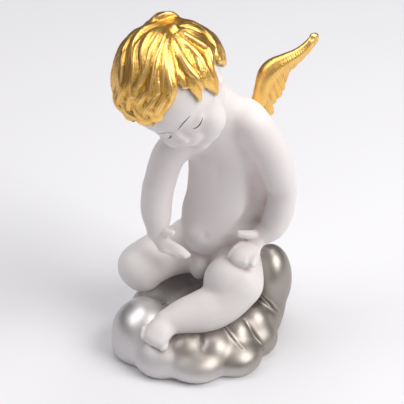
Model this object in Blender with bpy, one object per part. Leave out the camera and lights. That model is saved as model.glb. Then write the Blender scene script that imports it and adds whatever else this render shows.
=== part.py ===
"""A porcelain cherub that sits on a silvered cloud, with gilded hair and wings.

The form is built up as a modeller would in clay: balls and tapered rolls are pressed together,
joined into one skin and softened, first the trunk, then limbs and head, then fingers, features
and locks of hair. Lengths are in metres, +Z is up, and the origin is under the middle of the
cloud. The figure looks along -Y, and its own left side is at +X.
"""

import math

import bmesh
import bpy
import numpy as np
from mathutils import Euler, Matrix, Vector

MM = 0.001

# The figure, from where it sits to the top of its hair. Its modelling is measured in steps of
# that height.
FIGURE_HEIGHT = 165 * MM
STEPS_IN_HEIGHT = 165
STEP = FIGURE_HEIGHT / STEPS_IN_HEIGHT

# The cloud: a ring of puffs round a cushion, a few on top and one tall puff at the back.
CLOUD_RADIUS = 45 * MM
CLOUD_SEAT_HEIGHT = 25 * MM
CLOUD_BACK_HEIGHT = 48.5 * MM

# The wings, from the shoulder blade to beyond the tip, and how thick their arm is.
WING_LENGTH = 46 * MM
WING_ARM = 11.5 * MM

# The line of slip between pieces that touch.
SEAT_GAP = 0.3 * MM

# The thinnest that a roll of clay gets.
THINNEST_ROLL = 0.05 * MM

# Triangles kept on each piece.
FIGURE_TRIANGLES = 6400
CLOUD_TRIANGLES = 1500
WING_TRIANGLES = 650


def clear_scene():
    """Removes what the startup file holds."""
    for item in list(bpy.data.objects):
        bpy.data.objects.remove(item)


def finish(name, colour, roughness, metallic):
    """A plain finish for one piece."""
    made = bpy.data.materials.new(name)
    made.use_nodes = True
    shader = made.node_tree.nodes["Principled BSDF"]
    shader.inputs["Base Color"].default_value = (*colour, 1)
    shader.inputs["Roughness"].default_value = roughness
    shader.inputs["Metallic"].default_value = metallic
    return made


# Clay: closed lumps gathered in one bmesh.


def ball(clay, centre, radii, turn=(0, 0, 0)):
    """One ellipsoid, with its turn in degrees."""
    spin = Euler([math.radians(angle) for angle in turn]).to_matrix().to_4x4()
    place = Matrix.Translation(centre) @ spin @ Matrix.Diagonal((*radii, 1))
    bmesh.ops.create_uvsphere(clay, u_segments=28, v_segments=18, radius=1, matrix=place)


def curve_through(stations, steps):
    """Rows read from one smooth curve through the stations, places and radii alike."""
    rows = np.array(stations, float)
    rows = np.vstack([2 * rows[0] - rows[1], rows, 2 * rows[-1] - rows[-2]])
    read = []
    for before, start, end, after in zip(rows, rows[1:], rows[2:], rows[3:]):
        for share in np.arange(steps) / steps:
            bend = (2 * before - 5 * start + 4 * end - after) * share**2
            twist = (3 * start - before - 3 * end + after) * share**3
            read.append(start + ((end - before) * share + bend + twist) / 2)
    read.append(rows[-2])
    return np.array(read)


def roll(clay, stations, upward=None, steps=6, sides=14):
    """A roll through stations of place, half width and half thickness, with domed ends.

    upward(place) gives the way that the thickness points; without it the roll is round.
    """
    rows = curve_through([(*place, wide, thick) for place, wide, thick in stations], steps)
    places = [Vector(row[:3]) for row in rows]
    sizes = [(max(row[3], THINNEST_ROLL), max(row[4], THINNEST_ROLL)) for row in rows]
    aims = [(b - a).normalized() for a, b in zip(places, places[1:])]
    aims = [aims[0]] + [(a + b).normalized() for a, b in zip(aims, aims[1:])] + [aims[-1]]
    dome = [math.radians(angle) for angle in (75, 50, 25)]
    start = [(0, -math.sin(a), math.cos(a)) for a in dome]
    end = [(len(places) - 1, math.sin(a), math.cos(a)) for a in reversed(dome)]
    plan = start + [(index, 0, 1) for index in range(len(places))] + end
    side = aims[0].orthogonal()
    rings = []
    for index, along, share in plan:
        place, aim, (wide, thick) = places[index], aims[index], sizes[index]
        lift = upward(place) if upward else aim.cross(side)
        side = lift.cross(aim).normalized()
        up = aim.cross(side).normalized()
        middle = place + aim * along * min(wide, thick)
        turns = [math.tau * step / sides for step in range(sides)]
        rings.append(
            [
                clay.verts.new(
                    middle + side * math.cos(a) * wide * share + up * math.sin(a) * thick * share
                )
                for a in turns
            ]
        )
    for low, high in zip(rings, rings[1:]):
        for k in range(sides):
            following = (k + 1) % sides
            clay.faces.new((low[k], low[following], high[following], high[k]))
    clay.faces.new(list(reversed(rings[0])))
    clay.faces.new(rings[-1])


def object_from(name, clay):
    """The clay as an object in the scene."""
    mesh = bpy.data.meshes.new(name)
    clay.to_mesh(mesh)
    item = bpy.data.objects.new(name, mesh)
    bpy.context.scene.collection.objects.link(item)
    return item


def set_in_mesh(item):
    """Works the object's modifiers into its mesh."""
    graph = bpy.context.evaluated_depsgraph_get()
    made = bpy.data.meshes.new_from_object(item.evaluated_get(graph))
    item.modifiers.clear()
    item.data = made
    return item


def pressed(before, additions, grain, softening):
    """A skin round what was there before and the clay of the additions, softened by passes."""
    clay = bmesh.new()
    for add in additions:
        add(clay)
    if before:
        clay.from_mesh(before.data)
        bpy.data.objects.remove(before)
    item = object_from("clay", clay)
    clay.free()
    skin = item.modifiers.new("Join", "REMESH")
    skin.mode = "VOXEL"
    skin.voxel_size = grain
    soften = item.modifiers.new("Soften", "SMOOTH")
    soften.factor = 0.5
    soften.iterations = softening
    return set_in_mesh(item)


def thinned(item, triangles):
    """The object with that many triangles, fewest where it is smooth."""
    shape = bmesh.new()
    shape.from_mesh(item.data)
    bmesh.ops.triangulate(shape, faces=shape.faces)
    shape.to_mesh(item.data)
    shape.free()
    fewer = item.modifiers.new("Fewer", "DECIMATE")
    fewer.ratio = min(1, triangles / len(item.data.polygons))
    return set_in_mesh(item)


def cut_away(item, other, gap):
    """Takes the other piece, grown by the gap, out of the item."""
    shape = bmesh.new()
    shape.from_mesh(other.data)
    bmesh.ops.recalc_face_normals(shape, faces=shape.faces)
    shape.normal_update()
    for vert, push in [(v, v.normal * gap * v.calc_shell_factor()) for v in shape.verts]:
        vert.co += push
    cutter = object_from("cutter", shape)
    shape.free()
    cut = item.modifiers.new("Seat", "BOOLEAN")
    cut.operation = "DIFFERENCE"
    cut.solver = "EXACT"
    cut.object = cutter
    set_in_mesh(item)
    bpy.data.objects.remove(cutter)


# The figure.


def at(x, y, z):
    """A place on the figure, in its own steps from the middle of its seat."""
    return Vector((x, y, z)) * STEP


def lift_to_seat(item):
    """Raises a piece that was modelled from the seat, so that it sits on the cloud."""
    item.data.transform(Matrix.Translation((0, 0, CLOUD_SEAT_HEIGHT)))


def size(*radii):
    return [radius * STEP for radius in radii]


def station(x, y, z, radius, thick=None):
    """A place on a roll, with its half width and half thickness."""
    return at(x, y, z), radius * STEP, (thick or radius) * STEP


HEAD_MIDDLE = (-14.7, -8, 132.5)
HEAD_TILT = Euler([math.radians(angle) for angle in (31.6, -32.9, -24.5)])


def on_head(left, front, up):
    """A place on the head, in steps from the middle of the skull along the head's own axes."""
    turned = HEAD_TILT.to_matrix() @ Vector((left, -front, up))
    return at(*HEAD_MIDDLE) + turned * STEP


def head_turn():
    return [math.degrees(angle) for angle in HEAD_TILT]


def torso_front(place):
    """The way that the chest and belly face."""
    return Vector((-0.3, -0.95, 0.12))


def add_trunk(clay):
    """Hips, belly, ribs, chest, shoulders and neck."""
    roll(
        clay,
        [
            station(7.5, 25, 12, 22, 16),
            station(9, 23, 28, 21.5, 17),
            station(12.5, 22, 42, 22.7, 15.5),
            station(15.2, 20, 55, 22.7, 13),
            station(14.5, 18.5, 70, 21.5, 13.5),
            station(13, 14, 86, 20.5, 14),
            station(10.5, 10, 97, 17, 12.5),
        ],
        upward=torso_front,
        sides=24,
    )
    roll(
        clay,
        [
            station(8, 10, 88, 15.5, 8),
            station(8.5, 9.8, 80, 16.6, 8),
            station(8.5, 10, 68, 16.8, 8),
            station(7.6, 10, 55, 17.2, 8.5),
            station(4.5, 10.5, 45, 16.6, 9),
            station(2.5, 10.8, 37, 14.5, 9.5),
            station(1, 12, 30, 11.5, 9),
        ],
        upward=torso_front,
        sides=24,
    )
    for x in (18, -6):
        ball(clay, at(x, 30, 13.5), size(14.5, 16, 15))
    ball(clay, at(2, 10, 36), size(13, 9.5, 12))
    ball(clay, at(-2.5, 14, 87), size(7.5, 8.5, 9.5))
    ball(clay, at(31, 14, 72), size(8, 10, 18))
    roll(
        clay,
        [station(-9, 9, 93, 9.3), station(9, 10, 102.5, 12.5), station(20, 8.5, 105, 11.6)]
        + [station(26, 2.5, 104, 10.3)],
    )
    roll(clay, [station(11, 11, 103, 13), station(6, 8, 114, 11.5), station(-1, 3, 122, 10.5)])


def add_arms(clay):
    """Upper arms, hanging beside the trunk."""
    roll(
        clay,
        [
            station(26, 2, 104, 10.3),
            station(33.8, 1.8, 91, 9.8),
            station(37.4, 2.5, 81.5, 9.5),
            station(39.8, 3.3, 73, 8.8),
            station(41.9, 4, 65.5, 7.7),
        ],
    )
    roll(
        clay,
        [
            station(-9.5, 9, 93, 9.3),
            station(-16.8, 8, 84, 9.1),
            station(-20, 7.5, 75, 8.8),
            station(-22.5, 6.5, 65, 8.7),
        ],
    )


def add_forearms(clay):
    roll(
        clay,
        [
            station(41.9, 4, 66.5, 7.6),
            station(41, 4, 56.5, 7.8),
            station(39.8, 4, 49.8, 7.8),
            station(36.9, 3, 42.6, 7.1),
            station(33, 2, 39.2, 6),
        ],
    )
    roll(
        clay,
        [
            station(-22.6, 6.5, 66, 8.6),
            station(-23.9, 5.5, 55, 8.4),
            station(-23.7, 4.5, 49, 8),
            station(-23.6, 3.5, 43.5, 6.6),
            station(-24.2, 3, 39.3, 5.2),
        ],
    )


def add_thighs(clay):
    """The left knee points forward, the right one out to the side."""
    roll(
        clay,
        [station(16, 22, 17, 13.5), station(19, 6, 17.5, 13), station(20.5, -9, 16.5, 12.5)],
    )
    roll(
        clay,
        [station(-4, 23, 16, 13.5), station(-18.5, 20, 15, 13.6), station(-33, 10.5, 12.2, 13)],
    )
    ball(clay, at(15.8, -8.5, 16), size(15.5, 14, 14.5))
    ball(clay, at(-1.6, 9, 14), size(6, 7, 6))


def add_shins(clay):
    """The left shin crosses in front, the right one is folded back under the thigh."""
    roll(
        clay,
        [
            station(20.5, -11, 16, 12.3),
            station(11, -15, 7, 11.8),
            station(1, -18, 3.4, 11.6),
            station(-9.4, -21, 2.2, 9.5),
            station(-18, -24, 0.9, 7),
        ],
    )
    roll(
        clay,
        [
            station(-32, 11, 9, 11.8),
            station(-25, 26, 6, 10),
            station(-14, 38, 3.5, 6.8),
        ],
    )


def add_feet(clay):
    """The left foot lies on the cloud with its toes forward; the right one is tucked behind."""
    roll(
        clay,
        [
            station(-17.5, -23, 0.8, 6.6),
            station(-22, -29, -1.2, 7.4, 6),
            station(-25, -33, -3.2, 7.6, 4.4),
        ],
        upward=foot_top,
    )
    roll(
        clay,
        [
            station(-14, 38, 2.5, 6.6),
            station(-3, 42, 0.5, 6.8, 5.5),
            station(6, 44, -1, 6.5, 4.5),
        ],
    )


def foot_top(place):
    """The way that the back of the left foot faces."""
    return Vector((-0.15, -0.45, 0.88))


def add_toes(clay):
    for toe in range(5):
        share = toe / 4
        tip = Vector((-20.3 - 10.4 * share, -36 + 4 * share, -6.2 + 3.6 * share))
        root = tip + Vector((0.6, 3.4, 2.2))
        radius = 2.7 - 1.0 * share
        roll(clay, [station(*root, radius), station(*tip, radius * 0.95)])


def hand(clay, wrist, palm, knuckles, tips, thumb, width, finger_width):
    """A hand: a flat palm from the wrist to the knuckles, four fingers and a thumb."""
    fan = (Vector(knuckles[1]) - Vector(knuckles[0])).normalized()
    back_of_hand = fan.cross((Vector(palm) - Vector(wrist)).normalized())
    middle = (Vector(knuckles[0]) + Vector(knuckles[1])) / 2
    roll(
        clay,
        [station(*wrist, 4.4), station(*palm, width, 3), station(*middle, width * 0.95, 2.4)],
        upward=lambda place: back_of_hand,
    )
    for finger in range(4):
        share = finger / 3
        root = Vector(knuckles[0]).lerp(Vector(knuckles[1]), share)
        tip = Vector(tips[finger])
        bend = root.lerp(tip, 0.55) + Vector((0, 0, 0.6))
        roll(
            clay,
            [station(*root, finger_width), station(*bend, finger_width * 0.95)]
            + [station(*tip, finger_width * 0.78)],
        )
    roll(clay, [station(*place, radius) for place, radius in zip(thumb, (2.9, 2.6, 2.1))])


def add_hands(clay):
    """The left hand lies on the knee; the right one is held over the thigh."""
    hand(
        clay,
        wrist=(31.5, 1.5, 39.6),
        palm=(26.7, -2, 35.7),
        knuckles=((20.9, -3, 35.1), (27.6, -9, 31.6)),
        tips=((14.9, -8, 31.9), (18.2, -11.5, 32.1), (22.3, -14, 31.7), (26.2, -15, 31.1)),
        thumb=((28.8, 0, 39.4), (24, -2, 41.1), (19.5, -3, 42.4)),
        width=5.6,
        finger_width=2.7,
    )
    hand(
        clay,
        wrist=(-24.2, 3, 39.3),
        palm=(-21.5, 0.5, 36.3),
        knuckles=((-17.8, -1, 35.6), (-21.6, -1, 31.2)),
        tips=((-7.1, -5, 30.1), (-8.9, -6, 29.9), (-13.1, -5, 30.1), (-17.3, -4, 31)),
        thumb=((-22.5, 1, 40.6), (-18.3, -1.5, 42.3), (-15.4, -2.5, 42.6)),
        width=4.6,
        finger_width=1.9,
    )


CRANIUM = Vector((24.5, 27.5, 25.5))
CRANIUM_MIDDLE = Vector((0, -3, 1))


def add_head(clay):
    """Skull, cheeks, jaw and chin."""
    ball(clay, on_head(*CRANIUM_MIDDLE), size(*CRANIUM), head_turn())
    ball(clay, on_head(0, 5.5, -12), size(19.5, 18, 16.5), head_turn())
    for side in (1, -1):
        ball(clay, on_head(10.2 * side, 12.3, -17.2), size(10, 9, 10), head_turn())
        ball(clay, on_head(13.5 * side, 0, -13.5), size(7, 8, 8), head_turn())
    ball(clay, on_head(0, 17, -25), size(6.5, 6, 4.6), head_turn())


def add_features(clay):
    """Brow, nose, lids, lips and ears."""
    roll(
        clay,
        [(on_head(0, 22, -4), *size(1.8, 1.6)), (on_head(0, 24.2, -12), *size(2.2, 1.9))],
    )
    ball(clay, on_head(0, 24.6, -13), size(2.4, 2.2, 2), head_turn())
    for side in (1, -1):
        ball(clay, on_head(2.4 * side, 23.2, -13.4), size(1.7, 1.8, 1.5), head_turn())
        ball(clay, on_head(9.4 * side, 18.8, -8), size(4.8, 3.2, 3.6), head_turn())
        ball(clay, on_head(22.7 * side, -2, -8), size(2.4, 4.4, 5.6), head_turn())
    ball(clay, on_head(0, 22.9, -18.6), size(3.6, 1.9, 1), head_turn())
    ball(clay, on_head(0, 22.4, -20.6), size(3, 1.9, 1.1), head_turn())


# The hair radiates from a whorl on the left of the crown. A lock's bearing is its direction
# from there, 0 to the front and 90 to the figure's left, and its fall is its end's distance
# round the skull, both in degrees.
WHORL = Vector((0.51, -0.43, 0.74)).normalized()
HAIR_LIFT = 0.6
LOCK_WIDTH = 4.7
FALL_MEAN = 97
FALL_SWING = 27
LONGEST_BEARING = -75

# Locks round the face, where the edge of the hair is cut in points: bearing, fall, half width.
FACE_LOCKS = (
    (3, 86, 4.4),
    (13, 73, 3.6),
    (25, 68, 3.8),
    (38, 85, 4.0),
    (50, 76, 4.0),
    (64, 88, 4.0),
    (77, 60, 4.4),
    (92, 66, 5.0),
    (107, 74, 5.4),
)

# The locks on top, as strokes over the hair: half width, half thickness, how far they stand up,
# how full their end is, and the bearing and fall of each place along them.
UPPER_LOCKS = (
    (5.0, 2.8, 1.0, 0.8, ((-160, 20), (-126, 38), (-108, 50), (-94, 64), (-82, 80), (-69, 102))),
    (5.8, 3.4, 2.4, 0.9, ((-160, 18), (-100, 23), (-65, 38), (-49, 56), (-45, 76), (-36, 103))),
    (5.8, 3.6, 2.8, 0.9, ((-167, 10), (-47, 16), (-33, 36), (-25, 54), (-26, 74), (-17, 101))),
    (5.0, 3.4, 2.8, 0.8, ((179, 8), (-9, 18), (-11, 38), (-7, 54), (-7, 72), (-7, 97))),
    (4.4, 3.2, 2.6, 0.6, ((149, 8), (10, 20), (4, 39), (6, 56), (7, 68), (4, 80), (-4, 93))),
    (4.2, 2.6, 1.4, 0.5, ((114, 6), (20, 22), (18, 40), (21, 56), (25, 69))),
    (4.4, 2.8, 1.6, 0.3, ((88, 8), (36, 28), (33, 46), (35, 66), (39, 87))),
    (4.6, 2.8, 1.4, 0.3, ((93, 10), (53, 32), (51, 50), (54, 70), (65, 91))),
    (4.6, 3.0, 2.8, 0.4, ((129, 8), (76, 19), (76, 33), (78, 46), (74, 60))),
    (5.4, 3.0, 2.4, 0.6, ((152, 15), (122, 25), (111, 41), (104, 54), (94, 66))),
    (6.0, 2.6, 1.5, 0.8, ((176, 26), (153, 36), (138, 46), (126, 56), (114, 68), (106, 75))),
    (5.2, 4.4, 4.0, 0.3, ((-132, 29), (-150, 30), (-168, 31), (178, 32), (166, 34))),
)


def skull_out(place):
    """The way out of the skull at a place."""
    return (place - on_head(*CRANIUM_MIDDLE)).normalized()


def on_hair(bearing, fall, lift):
    """A place that far over the skull, at a bearing and a fall from the whorl."""
    front = Vector((0, 1, 0))
    ahead = (front - WHORL * front.dot(WHORL)).normalized()
    aside = ahead.cross(WHORL)
    turn, drop = math.radians(bearing), math.radians(fall)
    way = WHORL * math.cos(drop) + (ahead * math.cos(turn) + aside * math.sin(turn)) * math.sin(drop)
    reach = 1 / math.sqrt(sum((share / radius) ** 2 for share, radius in zip(way, CRANIUM)))
    return on_head(*(CRANIUM_MIDDLE + way * (reach + lift)))


def under_locks():
    """The even under layer of hair: bearing, fall, half width and sideways curl of each lock."""
    locks = [(*lock, 0) for lock in FACE_LOCKS]
    for index in range(17):
        bearing = -10 - index * 14.5
        fall = FALL_MEAN + FALL_SWING * math.cos(math.radians(bearing - LONGEST_BEARING))
        fall += 3 * (-1) ** index
        curl = -16 if bearing > -120 else 12 * (-1) ** index
        locks.append((bearing, fall, LOCK_WIDTH, curl))
    return locks


def hair_roll(clay, stations):
    """A lock through stations of bearing, fall, lift, half width and half thickness."""
    places = [
        (on_hair(bearing, fall, HAIR_LIFT + lift), wide * STEP, thick * STEP)
        for bearing, fall, lift, wide, thick in stations
    ]
    roll(clay, places, upward=skull_out, steps=4, sides=12)


def add_hair(clay):
    """Locks that fall from the whorl over the skull, with fuller ones on top."""
    for bearing, fall, width, curl in under_locks():
        stations = []
        for step in range(8):
            share = step / 7
            body = math.sin(math.pi * (0.14 + 0.74 * share))
            wave = curl * (share**2 - 0.6 * share) + 3 * math.sin(share * 6 + bearing)
            half = width * (0.25 + 0.75 * body) * (1 if step < 7 else 0.4)
            stations.append((bearing + wave, 7 + (fall - 7) * share, body, half, 0.9 + 2.3 * body))
        hair_roll(clay, stations)
    for wide, thick, lift, fullness, stroke in UPPER_LOCKS:
        stations = []
        for step, (bearing, fall) in enumerate(stroke):
            share = step / (len(stroke) - 1)
            fading = max(0, share - 0.6) / 0.4
            body = min(1, 0.35 + 2.2 * share) * (1 - (1 - fullness) * fading**1.5)
            stations.append((bearing, fall, lift * body, wide * body, thick * (0.3 + 0.7 * body)))
        hair_roll(clay, stations)
    ball(clay, on_hair(0, 0, HAIR_LIFT), size(6, 6, 2.4), head_turn())


def make_figure():
    figure = pressed(None, (add_trunk, add_arms, add_thighs), 1.6 * STEP, 12)
    figure = pressed(figure, (add_forearms, add_shins, add_feet, add_head), 1.3 * STEP, 6)
    figure = pressed(figure, (add_features,), STEP, 3)
    figure = pressed(figure, (add_hands, add_toes, add_hair), 0.9 * STEP, 2)
    figure.name = "cherub_figure"
    thinned(figure, FIGURE_TRIANGLES)
    lift_to_seat(figure)
    return figure


# The cloud.


def cut_flat(item):
    """Cuts the item off at the floor and closes it with a flat face."""
    clay = bmesh.new()
    clay.from_mesh(item.data)
    everything = clay.verts[:] + clay.edges[:] + clay.faces[:]
    cut = bmesh.ops.bisect_plane(
        clay, geom=everything, plane_co=(0, 0, 0), plane_no=(0, 0, 1), clear_inner=True
    )
    rim = [edge for edge in cut["geom_cut"] if isinstance(edge, bmesh.types.BMEdge)]
    bmesh.ops.holes_fill(clay, edges=rim, sides=0)
    clay.to_mesh(item.data)
    clay.free()


# The lobes of the cloud: the middle's place in plan, its height, and the radii. Lengths in plan
# are shares of the cloud's radius, and heights are shares of the seat's height.
CLOUD_LOBES = (
    (-0.69, -0.29, 0.46, 0.38, 0.42, 0.71),
    (-0.73, -0.36, 0.20, 0.33, 0.30, 0.38),
    (-0.47, -0.62, 0.28, 0.33, 0.33, 0.46),
    (-0.07, -0.67, 0.24, 0.38, 0.37, 0.40),
    (-0.20, -0.58, 0.38, 0.24, 0.27, 0.44),
    (0.13, -0.58, 0.38, 0.24, 0.27, 0.44),
    (0.38, -0.56, 0.22, 0.33, 0.34, 0.40),
    (0.41, -0.38, 0.42, 0.20, 0.24, 0.46),
    (0.59, -0.19, 0.46, 0.24, 0.24, 0.50),
    (0.62, -0.26, 0.26, 0.28, 0.28, 0.42),
    (0.66, 0.04, 0.36, 0.29, 0.30, 0.48),
    (0.45, 0.45, 0.32, 0.35, 0.35, 0.60),
    (0.05, 0.62, 0.32, 0.36, 0.36, 0.60),
    (-0.38, 0.55, 0.32, 0.35, 0.35, 0.62),
    (-0.58, 0.22, 0.30, 0.30, 0.34, 0.58),
)


def add_puffs(clay):
    """The cushion, the lobes round it, and the tall puff behind the left hip."""
    wide, seat = CLOUD_RADIUS, CLOUD_SEAT_HEIGHT
    ball(clay, (0, 0, seat * 0.4), (wide * 0.74, wide * 0.74, seat * 0.6))
    for x, y, z, across, deep, high in CLOUD_LOBES:
        ball(clay, (x * wide, y * wide, z * seat), (across * wide, deep * wide, high * seat))
    tall = CLOUD_BACK_HEIGHT / 2
    ball(clay, (0.82 * wide, 0.26 * wide, tall * 1.18), (0.26 * wide, 0.33 * wide, tall * 0.82))
    ball(clay, (0.74 * wide, 0.27 * wide, tall * 0.45), (0.27 * wide, 0.34 * wide, tall * 0.6))


def make_cloud():
    cloud = pressed(None, (add_puffs,), 1.2 * MM, 3)
    cloud.name = "cloud_base"
    cut_flat(cloud)
    return thinned(cloud, CLOUD_TRIANGLES)


# The wings.


# The arm of a wing, from inside the back to the tip: sideways, back and up as shares of the
# wing's length, and half thickness as a share of the arm's.
WING_ARM_LINE = (
    (-0.10, -0.08, -0.16, 1.0),
    (0.035, 0.00, -0.01, 0.95),
    (0.09, 0.03, 0.17, 1.05),
    (0.14, 0.065, 0.315, 1.25),
    (0.215, 0.10, 0.390, 1.25),
    (0.330, 0.13, 0.452, 1.0),
    (0.460, 0.174, 0.512, 0.75),
    (0.554, 0.217, 0.572, 0.62),
    (0.622, 0.25, 0.637, 0.54),
    (0.655, 0.28, 0.680, 0.36),
)

# The tips of the feathers, from the outermost to the one by the root, in the same shares.
FEATHER_TIPS = (
    (0.64, 0.28, 0.574),
    (0.576, 0.28, 0.478),
    (0.50, 0.28, 0.383),
    (0.426, 0.28, 0.296),
    (0.36, 0.30, 0.213),
    (0.34, 0.30, 0.104),
    (0.324, 0.28, 0.022),
    (0.293, 0.26, -0.05),
    (0.23, 0.217, -0.109),
    (0.20, 0.14, -0.213),
)
SHOULDER_MIDDLE = at(8.5, 9, 99)
SHOULDER_LINE = Vector((0.96, -0.25, 0.13)).normalized()


def on_wing(side, aside, back, rise):
    """A place on the wing on that side, in shares of its length from the left one's root."""
    place = at(26.5, 17, 109) + Vector((aside, back, rise)) * WING_LENGTH
    if side > 0:
        return place
    return place - 2 * (place - SHOULDER_MIDDLE).dot(SHOULDER_LINE) * SHOULDER_LINE


def make_wing(name, side):
    """A rounded arm with a row of feathers that hang from it."""

    def wing_back(place):
        return Vector((-0.55 * side, 0.8, 0.2))

    def add_wing(clay):
        thick = WING_ARM / 2 / 1.4
        arm = [
            (on_wing(side, *place), thick * share, thick * share)
            for *place, share in WING_ARM_LINE
        ]
        roll(clay, arm)
        spine = curve_through([(*place, share, share) for place, share, _ in arm[1:]], 4)
        wide = WING_LENGTH * 0.062
        for index, tip in enumerate(FEATHER_TIPS):
            along = spine[int((len(spine) - 1) * (1 - index / len(FEATHER_TIPS)))]
            root, end = Vector(along[:3]), on_wing(side, *tip)
            middle = root.lerp(end, 0.6)
            roll(
                clay,
                [(root, wide, thick * 0.5), (middle, wide * 1.1, thick * 0.36)]
                + [(end, wide * 0.7, thick * 0.26)],
                upward=wing_back,
            )

    wing = pressed(None, (add_wing,), 0.7 * MM, 2)
    wing.name = name
    thinned(wing, WING_TRIANGLES)
    lift_to_seat(wing)
    return wing


def main():
    clear_scene()
    porcelain = finish("bisque_porcelain", (0.83, 0.81, 0.80), 0.55, 0)
    gold = finish("gold_lustre", (0.80, 0.55, 0.16), 0.25, 1)
    silver = finish("silver_lustre", (0.62, 0.61, 0.60), 0.3, 1)
    figure = make_figure()
    cloud = make_cloud()
    cut_away(cloud, figure, SEAT_GAP)
    wings = [make_wing("left_wing", 1), make_wing("right_wing", -1)]
    for wing in wings:
        cut_away(wing, figure, SEAT_GAP)
    for item, look in ((figure, porcelain), (cloud, silver), (wings[0], gold), (wings[1], gold)):
        item.data.materials.clear()
        item.data.materials.append(look)


main()
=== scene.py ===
"""The looks of a porcelain cherub: matt bisque skin, gold lustre on its hair and wings, a silver cloud.

The pieces are modelled as in clay. Lumps and tapered rolls are joined into one skin and softened,
then creases, strands and feather lines are pressed into it with fine tools. Places on the figure
are in millimetres from the middle of its seat on the cloud, and places on the head are in
millimetres from the middle of the skull, along the head's own left, front and up.
"""

import math

import bmesh
import bpy
import numpy as np
from mathutils import Euler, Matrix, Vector
from mathutils.bvhtree import BVHTree


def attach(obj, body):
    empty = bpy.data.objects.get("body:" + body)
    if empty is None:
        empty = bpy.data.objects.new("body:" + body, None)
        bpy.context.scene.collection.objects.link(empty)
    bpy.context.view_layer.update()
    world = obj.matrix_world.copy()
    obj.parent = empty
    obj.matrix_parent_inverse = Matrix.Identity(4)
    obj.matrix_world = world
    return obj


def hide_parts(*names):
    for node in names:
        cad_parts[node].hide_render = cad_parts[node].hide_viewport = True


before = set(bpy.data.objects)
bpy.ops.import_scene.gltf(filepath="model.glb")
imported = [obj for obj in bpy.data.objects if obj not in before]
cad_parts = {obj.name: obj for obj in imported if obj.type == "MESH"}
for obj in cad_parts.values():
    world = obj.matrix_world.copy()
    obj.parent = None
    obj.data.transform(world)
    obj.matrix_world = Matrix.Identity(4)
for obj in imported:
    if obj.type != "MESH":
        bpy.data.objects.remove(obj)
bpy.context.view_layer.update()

MM = 0.001
SEAT_HEIGHT = 25 * MM


# Small tools.


def deselect():
    bpy.ops.object.select_all(action="DESELECT")


def make_active(item):
    deselect()
    item.select_set(True)
    bpy.context.view_layer.objects.active = item


def empty_mesh(name):
    """A new mesh object at the origin with nothing in it yet."""
    item = bpy.data.objects.new(name, bpy.data.meshes.new(name))
    bpy.context.scene.collection.objects.link(item)
    return item


def points_of(item):
    points = np.empty(len(item.data.vertices) * 3)
    item.data.vertices.foreach_get("co", points)
    return points.reshape(-1, 3)


def set_points(item, points):
    item.data.vertices.foreach_set("co", points.ravel())
    item.data.update()


def normals_of(item):
    normals = np.empty(len(item.data.vertices) * 3)
    item.data.vertex_normals.foreach_get("vector", normals)
    return normals.reshape(-1, 3)


def edges_of(item):
    edges = np.empty(len(item.data.edges) * 2, int)
    item.data.edges.foreach_get("vertices", edges)
    return edges.reshape(-1, 2)


def paint_mask(item, name, values):
    """Stores one number a point for the materials to read."""
    layer = item.data.attributes.new(name, "FLOAT", "POINT")
    layer.data.foreach_set("value", np.clip(values, 0, 1).astype(np.float32))


def neighbour_mean(edges, values):
    """The mean of each point's neighbours."""
    total = np.zeros_like(values)
    count = np.zeros(len(values))
    for a, b in ((0, 1), (1, 0)):
        np.add.at(total, edges[:, a], values[edges[:, b]])
        np.add.at(count, edges[:, a], 1)
    return total / np.maximum(count, 1).reshape((-1,) + (1,) * (values.ndim - 1))


def mark_painted_shade_and_highlight(item, full, passes):
    """Paints how far each point is pressed in, for painted shade in the hollows, and how far it stands
    out, for a painted highlight on the ridges of gold and porcelain and a warmer tone on the silver's: 1
    at the full depth.
    """
    edges, points = edges_of(item), points_of(item)
    wide = points
    for _ in range(passes):
        wide = neighbour_mean(edges, wide)
    depth = ((wide - points) * normals_of(item)).sum(1)
    paint_mask(item, "hollow_shade", depth / full)
    paint_mask(item, "ridge_highlight_and_tint", -depth / full)


# Clay: lumps gathered in a list, then pressed together.


def ball(lumps, centre, radii, turn=(0, 0, 0)):
    """One ellipsoid, with its turn in degrees."""
    angles = [math.radians(angle) for angle in turn]
    bpy.ops.mesh.primitive_uv_sphere_add(
        segments=40, ring_count=24, radius=1, location=centre, rotation=angles
    )
    lump = bpy.context.active_object
    lump.scale = radii
    lumps.append(lump)


def curve_through(stations, steps):
    """Rows read from one smooth curve through the stations, places and sizes alike."""
    rows = np.array(stations, float)
    rows = np.vstack([2 * rows[0] - rows[1], rows, 2 * rows[-1] - rows[-2]])
    read = []
    for before, start, end, after in zip(rows, rows[1:], rows[2:], rows[3:]):
        for share in np.arange(steps) / steps:
            bend = (2 * before - 5 * start + 4 * end - after) * share**2
            twist = (3 * start - before - 3 * end + after) * share**3
            read.append(start + ((end - before) * share + bend + twist) / 2)
    read.append(rows[-2])
    return np.array(read)


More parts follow.
